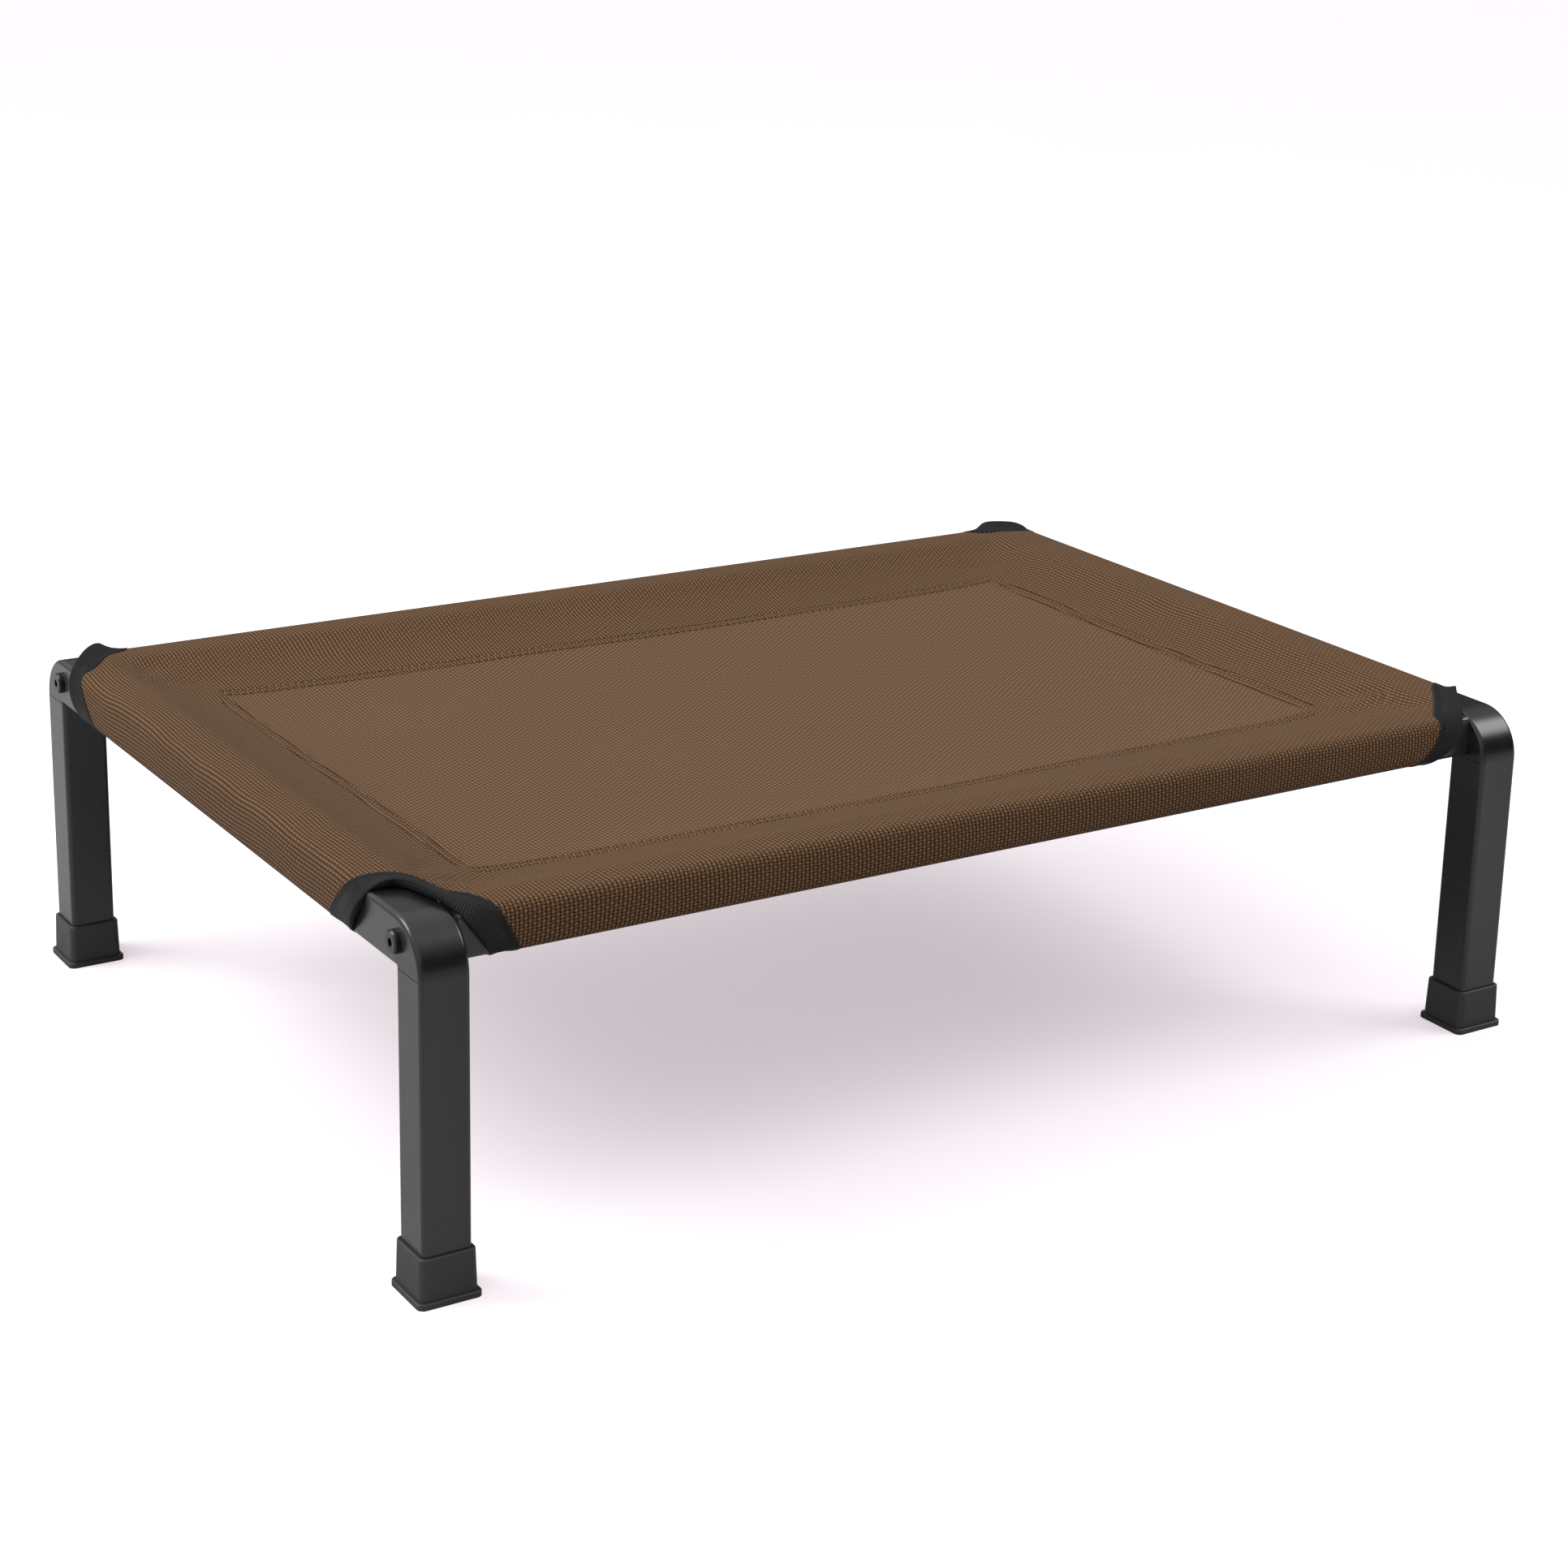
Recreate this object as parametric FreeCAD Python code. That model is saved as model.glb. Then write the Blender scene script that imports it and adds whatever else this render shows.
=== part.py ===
import FreeCAD, Part
import math
import os

# Raised dog bed: two folded square-tube side frames, two square-tube rails bolted between them,
# and a woven mesh sling whose four hems wrap the tubes. Millimetres. X runs along the rails,
# Y along the side frames and Z up. The origin is on the floor, under the middle of the bed.

# Driving dimensions
LENGTH = 660.0             # over the two side frames
DEPTH = 484.0              # over the legs
HEIGHT = 182.0             # floor to the top of the side frames
FRAME_TUBE = 25.0          # side frame tube, square
RAIL_TUBE = 22.0           # rail tube, square
TUBE_WALL = 1.2
TUBE_EDGE = 2.5            # outer edge radius of both tubes
SEAM_WIDTH = 0.4           # closed notch of the folded corner, seen as a fine line
SEAM_DEPTH = 0.3

CAP_HEIGHT = 24.0
CAP_FLOOR = 4.0            # rubber under the leg's end
CAP_TOP = 28.5             # outer side at the lip
CAP_WAIST = 29.6           # outer side just above the flange
CAP_FLANGE = 32.5
CAP_FLANGE_HEIGHT = 3.0
CAP_CLEARANCE = 0.15       # each side of the leg
CAP_CORNER = 3.5           # plan radius of the cap's corners
CAP_LIP_ROUND = 0.8

BOLT_FROM_FACE = 24.0      # bolt axis, from the leg's outer face
BOLT_SHANK = 5.9
BOLT_LENGTH = 33.0
BOLT_HOLE = 6.5
BOLT_HEAD = 11.5
BOLT_HEAD_HEIGHT = 3.2
BOLT_HEAD_CHAMFER = 0.8
SOCKET_ACROSS_FLATS = 4.0
SOCKET_DEPTH = 2.2
NUT_PLATE = 6.0            # thickness of the threaded plate inside a rail's end
NUT_PLATE_HOLE = 6.1
NUT_PLATE_GAP = 0.1        # between the plate and the rail's inner walls

CLOTH = 0.9                # thickness of the mesh
CLOTH_GAP = 0.3            # between a tube and the cloth round it
SEAM_X = 266.0             # outer stitching row of the left and right hems
SEAM_Y = 160.0             # outer stitching row of the front and back hems
SEAM_Z = 169.0             # between the hem's two layers, at the stitching
HEM_LAP = 7.0              # width over which the two layers are sewn together
PANEL_GAP = 0.2            # between the hems and the panel they carry
SAG = 7.0                  # of the panel's middle below its edge

NOTCH_X = 292.0            # corner cut-out: where its edge crosses a rail's top
NOTCH_Y = 170.0            # and where it crosses a side frame's top
NOTCH_LEAN_X = 18.0        # how much further in it is at the tubes' undersides
NOTCH_LEAN_Y = 24.0
NOTCH_ROUND = 18.0
BINDING_WIDTH = 13.0
BINDING_THICKNESS = 1.7
BINDING_GAP = 0.15         # between the binding and the hem it edges

THREAD_WIDTH = 0.7
THREAD_HEIGHT = 0.4
THREAD_LIFT = 0.05
ROW_SPACING = 5.5
ROW_INSET = 0.6            # outer row, in from the lap's outer edge

# Values that follow from them
V = FreeCAD.Vector
X_AXIS = V(1, 0, 0)
Y_AXIS = V(0, 1, 0)
Z_AXIS = V(0, 0, 1)
FOLD_Y = DEPTH / 2 - FRAME_TUBE        # inner corner of a side frame's fold
FOLD_Z = HEIGHT - FRAME_TUBE
INNER_X = LENGTH / 2 - FRAME_TUBE      # inner face of a side frame
BOLT_Y = DEPTH / 2 - BOLT_FROM_FACE
BOLT_Z = HEIGHT - FRAME_TUBE / 2
MARGIN = 20.0                          # how far cutters run past what they cut
CORNERS = [("front_left", -1, -1), ("front_right", 1, -1), ("back_left", -1, 1), ("back_right", 1, 1)]


def rounded_square(side, radius, z=0.0):
    """Face of a square with round corners, centred on the Z axis."""
    half = side / 2
    square = Part.makeBox(side, side, 1.0, V(-half, -half, z))
    uprights = [edge for edge in square.Edges if abs(edge.Vertexes[0].Z - edge.Vertexes[1].Z) > 0.5]
    rounded = square.makeFillet(radius, uprights)
    return min(rounded.Faces, key=lambda face: face.CenterOfMass.z)


def tube_section(side, radius, centre, along):
    """Rounded square face with its centre at a point and its normal along X, Y or Z."""
    face = rounded_square(side, radius)
    if along == X_AXIS:
        face.rotate(V(0, 0, 0), Y_AXIS, 90)
    if along == Y_AXIS:
        face.rotate(V(0, 0, 0), X_AXIS, -90)
    face.translate(centre)
    return face


def folded_bar(side, radius, leg_bottom):
    """Side frame as a solid bar: two legs and a top bar joined by folds about their inner corners."""
    pieces = []
    for way in (-1, 1):
        leg_y = way * (FOLD_Y + FRAME_TUBE / 2)
        leg = tube_section(side, radius, V(0, leg_y, leg_bottom), Z_AXIS)
        fold = tube_section(side, radius, V(0, leg_y, FOLD_Z), Z_AXIS)
        pieces.append(leg.extrude(Z_AXIS * (FOLD_Z - leg_bottom)))
        pieces.append(fold.revolve(V(0, way * FOLD_Y, FOLD_Z), X_AXIS, 90 * way))
    bar = tube_section(side, radius, V(0, -FOLD_Y, BOLT_Z), Y_AXIS).extrude(Y_AXIS * (2 * FOLD_Y))
    return bar.multiFuse(pieces).removeSplitter()


def seam_line(way, face_x):
    """Cutter for the fold's closed notch, which shows as a line across the leg's side face."""
    run = FRAME_TUBE - TUBE_EDGE
    low_y = min(way * FOLD_Y, way * (FOLD_Y + run))
    corner = V(face_x - SEAM_DEPTH, low_y, FOLD_Z - SEAM_WIDTH / 2)
    return Part.makeBox(2 * SEAM_DEPTH, run, SEAM_WIDTH, corner)


def side_frame(side):
    """Hollow side frame at the left (-1) or right (1) end, with its bolt holes."""
    outside = folded_bar(FRAME_TUBE, TUBE_EDGE, CAP_FLOOR)
    inside = folded_bar(FRAME_TUBE - 2 * TUBE_WALL, TUBE_EDGE - TUBE_WALL, CAP_FLOOR)
    frame = outside.cut(inside)
    cutters = []
    for way in (-1, 1):
        start = V(-FRAME_TUBE, way * BOLT_Y, BOLT_Z)
        cutters.append(Part.makeCylinder(BOLT_HOLE / 2, 2 * FRAME_TUBE, start, X_AXIS))
        cutters.append(seam_line(way, -FRAME_TUBE / 2))
        cutters.append(seam_line(way, FRAME_TUBE / 2))
    frame = frame.cut(cutters)
    frame.translate(V(side * (LENGTH - FRAME_TUBE) / 2, 0, 0))
    return frame


def rail(way):
    """Hollow rail along X between the side frames, at the front (-1) or back (1)."""
    start = V(-INNER_X, way * BOLT_Y, BOLT_Z)
    outside = tube_section(RAIL_TUBE, TUBE_EDGE, start, X_AXIS).extrude(X_AXIS * (2 * INNER_X))
    bore = tube_section(RAIL_TUBE - 2 * TUBE_WALL, TUBE_EDGE - TUBE_WALL, start, X_AXIS)
    return outside.cut(bore.extrude(X_AXIS * (2 * INNER_X)))


def nut_plate(side, way):
    """Threaded plate flush with a rail's end."""
    width = RAIL_TUBE - 2 * TUBE_WALL - 2 * NUT_PLATE_GAP
    start = V(side * INNER_X, way * BOLT_Y, BOLT_Z)
    inward = X_AXIS * (-side * NUT_PLATE)
    plate = tube_section(width, TUBE_EDGE - TUBE_WALL, start, X_AXIS).extrude(inward)
    hole = Part.makeCylinder(NUT_PLATE_HOLE / 2, NUT_PLATE, start, X_AXIS * -side)
    return plate.cut(hole)


def bolt(side, way):
    """Low-head socket bolt through a side frame into a rail's nut plate."""
    seat = V(side * LENGTH / 2, way * BOLT_Y, BOLT_Z)
    outward = X_AXIS * side
    head = Part.makeCylinder(BOLT_HEAD / 2, BOLT_HEAD_HEIGHT, seat, outward)
    crown_x = seat.x + side * BOLT_HEAD_HEIGHT
    rim = [edge for edge in head.Edges if abs(edge.CenterOfMass.x - crown_x) < 0.01 and edge.Closed]
    head = head.makeChamfer(BOLT_HEAD_CHAMFER, rim)
    shank = Part.makeCylinder(BOLT_SHANK / 2, BOLT_LENGTH, seat, outward * -1)
    corner_radius = SOCKET_ACROSS_FLATS / math.sqrt(3)
    corners = []
    for step in range(7):
        turn = math.radians(60 * step)
        corner = V(0, corner_radius * math.cos(turn), corner_radius * math.sin(turn))
        corners.append(V(crown_x, seat.y, seat.z) + corner)
    socket = Part.Face(Part.makePolygon(corners)).extrude(outward * -SOCKET_DEPTH)
    return head.fuse(shank).cut(socket).removeSplitter()


def foot_cap(side, way):
    """Rubber cap pushed on to a leg, with a flange round its base."""
    flange = rounded_square(CAP_FLANGE, CAP_CORNER).extrude(Z_AXIS * CAP_FLANGE_HEIGHT)
    rim = [edge for edge in flange.Edges if edge.BoundBox.ZMin > CAP_FLANGE_HEIGHT - 0.01]
    flange = flange.makeFillet(CAP_LIP_ROUND, rim)
    waist_z = CAP_FLANGE_HEIGHT - CAP_LIP_ROUND
    waist = rounded_square(CAP_WAIST, CAP_CORNER, waist_z).OuterWire
    lip = rounded_square(CAP_TOP, CAP_CORNER, CAP_HEIGHT).OuterWire
    body = Part.makeLoft([waist, lip], True, True)
    rim = [edge for edge in body.Edges if edge.BoundBox.ZMin > CAP_HEIGHT - 0.01]
    body = body.makeFillet(CAP_LIP_ROUND, rim)
    bore = rounded_square(FRAME_TUBE + 2 * CAP_CLEARANCE, TUBE_EDGE, CAP_FLOOR)
    cap = flange.fuse(body).cut(bore.extrude(Z_AXIS * CAP_HEIGHT))
    leg_x = side * (LENGTH - FRAME_TUBE) / 2
    leg_y = way * (DEPTH - FRAME_TUBE) / 2
    cap.translate(V(leg_x, leg_y, 0))
    return cap


def arc_point(centre, radius, degrees):
    """Point of a circle in the section plane, where X is outward from the bed and Z is up."""
    turn = math.radians(degrees)
    return V(centre.x + radius * math.cos(turn), 0, centre.z + radius * math.sin(turn))


def tangent_angle(tip, centre, radius, upper):
    """Direction from a circle's centre to where a line from the tip touches it, in degrees."""
    reach = (tip - centre).Length
    towards = math.degrees(math.atan2(tip.z - centre.z, tip.x - centre.x))
    spread = math.degrees(math.acos(radius / reach))
    return towards - spread if upper else towards + spread


def hem_loop(tube, tube_x, offset, layers):
    """Outline of cloth drawn round a tube at tube_x and in to the stitching at x = 0.

    The tube is outward of the stitching, at negative x. offset is the outline's distance from the
    tube. layers is half the thickness of what the loop closes on, or 0 for a sharp tip.
    """
    reach = tube / 2 - TUBE_EDGE
    radius = TUBE_EDGE + offset
    upper_in = V(tube_x + reach, 0, BOLT_Z + reach)
    lower_in = V(tube_x + reach, 0, BOLT_Z - reach)
    upper_out = V(tube_x - reach, 0, BOLT_Z + reach)
    lower_out = V(tube_x - reach, 0, BOLT_Z - reach)
    tip_upper = V(0, 0, SEAM_Z + layers)
    tip_lower = V(0, 0, SEAM_Z - layers)
    leave = tangent_angle(tip_upper, upper_in, radius, False)
    arrive = tangent_angle(tip_lower, lower_in, radius, True)
    arcs = [(upper_in, leave, 90), (upper_out, 90, 180)]
    arcs += [(lower_out, 180, 270), (lower_in, 270, 360 + arrive)]
    edges = []
    last = tip_upper
    for centre, start, end in arcs:
        points = [arc_point(centre, radius, turn) for turn in (start, (start + end) / 2, end)]
        edges.append(Part.makeLine(last, points[0]))
        edges.append(Part.Arc(*points).toShape())
        last = points[2]
    edges.append(Part.makeLine(last, tip_lower))
    if layers > 0:
        lap_lower = V(HEM_LAP, 0, SEAM_Z - layers)
        lap_upper = V(HEM_LAP, 0, SEAM_Z + layers)
        corners = [tip_lower, lap_lower, lap_upper, tip_upper]
        edges += [Part.makeLine(a, b) for a, b in zip(corners, corners[1:])]
    return Part.Face(Part.Wire(Part.__sortEdges__(edges)))


def hem_shell(tube, seam, tube_line, thickness, half_run):
    """Cloth loop of a hem, running along Y, for the left or, once turned, the front."""
    tube_x = seam - tube_line
    outside = hem_loop(tube, tube_x, CLOTH_GAP + thickness, thickness)
    inside = hem_loop(tube, tube_x, CLOTH_GAP, 0.0)
    shell = outside.cut(inside).extrude(Y_AXIS * (2 * half_run))
    shell.translate(V(-seam, -half_run, 0))
    return shell


def left_shell(thickness):
    """The left hem before its ends are cut."""
    return hem_shell(FRAME_TUBE, SEAM_X, (LENGTH - FRAME_TUBE) / 2, thickness, DEPTH / 2)


def front_shell(thickness):
    """The front hem before its ends are cut."""
    shell = hem_shell(RAIL_TUBE, SEAM_Y, BOLT_Y, thickness, LENGTH / 2)
    shell.rotate(V(0, 0, 0), Z_AXIS, 90)
    return shell


def corner_outline(inset, z):
    """Plan outline, at a height, of the front left cut-out, or of what is left inside a binding."""
    drop = (HEIGHT - z) / FRAME_TUBE
    edge_x = -NOTCH_X + NOTCH_LEAN_X * drop - inset
    edge_y = -NOTCH_Y + NOTCH_LEAN_Y * drop - inset
    radius = NOTCH_ROUND - inset
    far_x = -LENGTH / 2 - 2 * MARGIN
    far_y = -DEPTH / 2 - 2 * MARGIN
    centre = V(edge_x - radius, edge_y - radius, z)
    half_turn = radius * math.sqrt(0.5)
    start = V(edge_x - radius, edge_y, z)
    middle = V(centre.x + half_turn, centre.y + half_turn, z)
    end = V(edge_x, edge_y - radius, z)
    corners = [end, V(edge_x, far_y, z), V(far_x, far_y, z), V(far_x, edge_y, z), start]
    edges = [Part.Arc(start, middle, end).toShape()]
    edges += [Part.makeLine(a, b) for a, b in zip(corners, corners[1:])]
    return Part.Wire(edges)


def corner_block(inset):
    """Solid of the front left cut-out, whose edges lean in towards the tubes' undersides."""
    low = corner_outline(inset, FOLD_Z - MARGIN)
    high = corner_outline(inset, HEIGHT + MARGIN)
    return Part.makeLoft([low, high], True, True)


def mitre_block(hem_side, clearance):
    """Solid on one side of the front left mitre, where the slopes of two hems meet.

    hem_side is 1 for the left hem's side and -1 for the front hem's. clearance moves its face away
    from the mitre.
    """
    rise_left = (HEIGHT - SEAM_Z) / (INNER_X - SEAM_X)
    rise_front = (BOLT_Z + RAIL_TUBE / 2 - SEAM_Z) / (BOLT_Y - RAIL_TUBE / 2 - SEAM_Y)
    along = V(-rise_front, -rise_left, 0).normalize()
    across = V(along.y, -along.x, 0) * hem_side
    start = V(-SEAM_X, -SEAM_Y, 0) + across * clearance
    inner = start - along * (HEM_LAP * 4)
    outer = start + along * LENGTH
    corners = [inner, outer, outer + across * LENGTH, inner + across * LENGTH, inner]
    return Part.Face(Part.makePolygon(corners)).extrude(Z_AXIS * (HEIGHT + MARGIN))


def in_each_corner(shape):
    """The shape and its mirror images in the other corners."""
    across = shape.mirror(V(0, 0, 0), X_AXIS)
    return [shape, across, shape.mirror(V(0, 0, 0), Y_AXIS), across.mirror(V(0, 0, 0), Y_AXIS)]


def side_hem():
    """Left hem, cut back to the cut-outs and to the mitres with the front and back hems."""
    beyond = mitre_block(-1, -PANEL_GAP / 2)
    hem = left_shell(CLOTH).cut([beyond, beyond.mirror(V(0, 0, 0), Y_AXIS)])
    return largest_solid(hem.cut(in_each_corner(corner_block(0.0))))


def end_hem():
    """Front hem, cut in the same way."""
    beyond = mitre_block(1, -PANEL_GAP / 2)
    hem = front_shell(CLOTH).cut([beyond, beyond.mirror(V(0, 0, 0), X_AXIS)])
    return largest_solid(hem.cut(in_each_corner(corner_block(0.0))))


def binding():
    """Binding tape round the front left cut-out."""
    ring = corner_block(BINDING_GAP).cut(corner_block(BINDING_WIDTH))
    left_side = mitre_block(1, 0.0)
    left = left_shell(BINDING_THICKNESS).common(ring).common(left_side)
    front = front_shell(BINDING_THICKNESS).common(ring).cut(left_side)
    return largest_solid(left.fuse(front).removeSplitter())


def largest_solid(shape):
    """The main solid of a shape, without the offcuts beyond a cut."""
    return max(shape.Solids, key=lambda solid: solid.Volume)


def sling_panel():
    """Single layer of mesh inside the hems, hanging slightly in its middle."""
    half_x = SEAM_X - HEM_LAP - PANEL_GAP
    half_y = SEAM_Y - HEM_LAP - PANEL_GAP
    edge_z = SEAM_Z + CLOTH
    middle_pole = edge_z - SAG * 16 / 9        # a bicubic patch reaches 9/16 of its four middle poles
    surface = Part.BezierSurface()
    surface.increase(3, 3)
    for row in range(4):
        for column in range(4):
            x = half_x * (2 * row / 3 - 1)
            y = half_y * (2 * column / 3 - 1)
            inner = row in (1, 2) and column in (1, 2)
            surface.setPole(row + 1, column + 1, V(x, y, middle_pole if inner else edge_z))
    return surface.toShape().extrude(Z_AXIS * -CLOTH)


def stitching():
    """Two rows of thread along each hem's lap, as a group of separate strands."""
    base_z = SEAM_Z + CLOTH + THREAD_LIFT
    strands = []
    for row in range(2):
        inset = ROW_INSET + row * ROW_SPACING
        row_x = SEAM_X - inset
        row_y = SEAM_Y - inset
        run_x = 2 * (row_x - THREAD_WIDTH)
        run_y = 2 * (row_y - THREAD_WIDTH)
        for way in (-1, 1):
            corner = V(-run_x / 2, way * row_y - THREAD_WIDTH / 2, base_z)
            strands.append(Part.makeBox(run_x, THREAD_WIDTH, THREAD_HEIGHT, corner))
            corner = V(way * row_x - THREAD_WIDTH / 2, -run_y / 2, base_z)
            strands.append(Part.makeBox(THREAD_WIDTH, run_y, THREAD_HEIGHT, corner))
    return Part.makeCompound(strands)


def build():
    """Every node of the bed, by name."""
    nodes = {
        "left_side_frame": side_frame(-1),
        "right_side_frame": side_frame(1),
        "front_rail": rail(-1),
        "back_rail": rail(1),
        "sling_panel": sling_panel(),
        "sling_stitching": stitching(),
    }
    left = side_hem()
    nodes["left_hem_sleeve"] = left
    nodes["right_hem_sleeve"] = left.mirror(V(0, 0, 0), X_AXIS)
    front = end_hem()
    nodes["front_hem_sleeve"] = front
    nodes["back_hem_sleeve"] = front.mirror(V(0, 0, 0), Y_AXIS)
    bindings = in_each_corner(binding())
    for (corner, side, way), tape in zip(CORNERS, bindings):
        nodes[corner + "_binding"] = tape
        nodes[corner + "_foot_cap"] = foot_cap(side, way)
        nodes[corner + "_bolt"] = bolt(side, way)
        nodes[corner + "_nut_plate"] = nut_plate(side, way)
    return nodes


os.makedirs("parts", exist_ok=True)
for name, shape in build().items():
    shape.exportStep("parts/" + name + ".step")
    print(name, "valid", shape.isValid(), "solids", len(shape.Solids), "volume", round(shape.Volume))
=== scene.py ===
"""Looks of the raised dog bed: its sling, bindings and stitches, and the materials of all its parts."""

import math
from collections import namedtuple

import bpy
import numpy as np
from mathutils import Matrix, Vector


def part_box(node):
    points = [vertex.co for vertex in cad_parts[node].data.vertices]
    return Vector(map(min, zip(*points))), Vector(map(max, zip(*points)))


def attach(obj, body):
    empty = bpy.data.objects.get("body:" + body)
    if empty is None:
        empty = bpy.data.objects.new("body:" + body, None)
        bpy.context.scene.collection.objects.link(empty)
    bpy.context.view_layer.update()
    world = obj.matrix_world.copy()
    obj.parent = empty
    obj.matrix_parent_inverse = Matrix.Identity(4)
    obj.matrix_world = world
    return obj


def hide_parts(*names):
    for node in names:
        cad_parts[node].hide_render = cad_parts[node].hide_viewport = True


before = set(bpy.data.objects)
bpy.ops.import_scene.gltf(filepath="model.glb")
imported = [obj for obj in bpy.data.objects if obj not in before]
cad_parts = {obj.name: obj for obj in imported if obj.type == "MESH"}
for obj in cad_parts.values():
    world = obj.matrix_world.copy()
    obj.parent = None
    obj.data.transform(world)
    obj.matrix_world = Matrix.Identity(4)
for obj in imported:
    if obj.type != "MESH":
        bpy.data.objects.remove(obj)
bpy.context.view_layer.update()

MM = 0.001

# Sizes read from the frame, in millimetres
bar_low, bar_high = (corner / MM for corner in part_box("left_side_frame"))
rail_low, rail_high = (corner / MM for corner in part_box("front_rail"))
row_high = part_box("sling_stitching")[1] / MM
BAR_OUT = -bar_low.x                    # outer and inner faces of a side frame's bar
BAR_IN = -bar_high.x
BAR_TOP = bar_high.z
TUBE = BAR_OUT - BAR_IN
RAIL_OUT = -rail_low.y                  # outer and inner faces of a rail
RAIL_IN = -rail_high.y
RAIL_TOP = rail_high.z
RAIL_BOTTOM = rail_low.z
SEAM_X = row_high.x                     # outer stitching row
SEAM_Y = row_high.y

# The sling, in millimetres
CLOTH = 0.9
CLOTH_LIFT = 1.4                        # cloth's outer face above a tube
ROUND = 6.5                             # of the cloth over a tube's outer edges
ROW_GAP = 6.0                           # between the two stitching rows
END_ROW_HALF = 262.0                    # half lengths of the rows beside the rails and the side frames
SIDE_ROW_HALF = 148.0
LAP = 8.0                               # from the outer row to the hem's inner edge
DIP_X = 19.0                            # how far the cloth falls inside the side frames
DIP_Y = 17.5                            # and inside the rails
REACH_X = 36.0                          # distance over which it falls
REACH_Y = 38.0
SAG = 4.0                               # further sag of the middle
EDGE_SOFT = 2.0                         # how softly it leaves a tube
BLEND = 1.5                             # how softly the two falls meet
BOW = 0.35                              # of the cloth over a tube's outer face
UNDER_STOP = 2.0                        # where it leaves a tube's underside, from the inner face
UNDER_GAP = 0.25                        # between the sling and the layer under it
UNDER_SLACK = 1.05                      # length of that layer for its run in plan
LEAN_Y = 26.5                           # lean of a cut-out's edge down a side bar's face
GROOVE = 0.62                           # cloth pulled in by the stitches
GROOVE_WIDTH = 0.9
ROW_FADE = 0.6                          # over which a groove ends
WELD = 0.05                             # within which points are one

# Pull folds at the corners, and the wide unevenness of the panel, in millimetres and radians
PULL_X = 303.0                          # where the folds of a corner spread from
PULL_Y = 172.5
PULL_HEIGHT = 0.55
PULL_REACH = 26.0                       # distance at which they are highest
PULL_TURNS = 7.0                        # number of them in a full turn
PULL_START = 0.6
PULL_CLEAR = 6.0                        # distance from a tube at which they have half faded
PULL_FADE = 3.0
DRIFT = 0.35
DRIFT_WIDE = (61.0, 83.0)               # lengths of its two waves along x and y, for each radian
DRIFT_NARROW = (37.0, 49.0)
DRIFT_START = 1.3

# Points and rows of the sling's mesh
ROUND_POINTS = 9                        # round a tube's edge
FACE_POINTS = 7                         # down a tube's outer face
BELOW_POINTS = 5                        # under a tube
TURN_POINTS = 12                        # round a cut-out's turn
SIDE_POINTS = 18                        # along a cut-out's side
LAP_ROWS = 10                           # over the lap inside the stitching
MITRE_ROWS = 38                         # from the stitching to the cut-out
BACK_ROWS = 16                          # from under a tube back to the stitching
COLUMNS_X = 161
COLUMNS_Y = 97

# Corner cut-outs. way_x and way_y are the corner's signs, and the rest is for |x| and |y|: where the cloth's
# edge crosses a side bar's outer edge, where it turns, how rounded the turn is, where it crosses a rail's
# outer edge, how it leans down the rail's face, and which share of its full width the tape reaches past it
Corner = namedtuple("Corner", "way_x way_y bar_y turn_x turn_y soft rail_x lean_x lean_power reach")
CORNERS = {
    "front_left": Corner(-1, -1, 172.5, 307.0, 172.5, 13.0, 288.0, 13.0, 1.0, 1.0),
    "front_right": Corner(1, -1, 181.0, 304.0, 206.0, 9.0, 286.0, 18.0, 2.2, 0.82),
    "back_left": Corner(-1, 1, 189.0, 303.0, 219.0, 6.0, 291.0, 13.0, 1.0, 0.74),
    "back_right": Corner(1, 1, 206.0, 305.0, 213.0, 6.0, 292.0, 13.0, 1.0, 0.78),
}


# ---------------------------------------------------------------- sling surface

def soft_step(distance):
    """Distance inward from a tube's inner face, eased to nothing over the tube."""
    return EDGE_SOFT * np.logaddexp(0.0, distance / EDGE_SOFT)


def groove(distance, outer_row):
    """Depth of the dimple along two rows of stitches, outer_row from the middle of the bed."""
    depth = np.exp(-((distance - outer_row) / GROOVE_WIDTH) ** 2)
    depth = depth + np.exp(-((distance - outer_row + ROW_GAP) / GROOVE_WIDTH) ** 2)
    return GROOVE * depth


def top_height(x, y):
    """Height of the sling's upper face over a point of the plan."""
    ax, ay = np.abs(x), np.abs(y)
    side = BAR_TOP + CLOTH_LIFT - DIP_X * (1 - np.exp(-soft_step(BAR_IN - ax) / REACH_X))
    end = RAIL_TOP + CLOTH_LIFT - DIP_Y * (1 - np.exp(-soft_step(RAIL_IN - ay) / REACH_Y))
    height = BLEND * np.logaddexp(side / BLEND, end / BLEND)
    middle = np.clip(1 - (ax / BAR_IN) ** 2, 0, 1) * np.clip(1 - (ay / RAIL_IN) ** 2, 0, 1)
    height = height - SAG * middle
    beside = 1 / (1 + np.exp((ay - SIDE_ROW_HALF) / ROW_FADE))
    before = 1 / (1 + np.exp((ax - END_ROW_HALF) / ROW_FADE))
    height = height - groove(ax, SEAM_X) * beside - groove(ay, SEAM_Y) * before
    return height + ripples(ax, ay) + drift(x, y)


def ripples(ax, ay):
    """Slight pull folds that run from the corner cut-outs towards the stitching."""
    to_corner = np.hypot(ax - PULL_X, ay - PULL_Y)
    turn = np.arctan2(ay - PULL_Y, ax - PULL_X)
    inside = 1 / (1 + np.exp((ax - BAR_IN + PULL_CLEAR) / PULL_FADE))
    inside = inside / (1 + np.exp((ay - RAIL_IN + PULL_CLEAR) / PULL_FADE))
    swell = np.exp(-((to_corner - PULL_REACH) / PULL_REACH) ** 2)
    return PULL_HEIGHT * swell * np.cos(turn * PULL_TURNS + PULL_START) * inside


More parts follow.
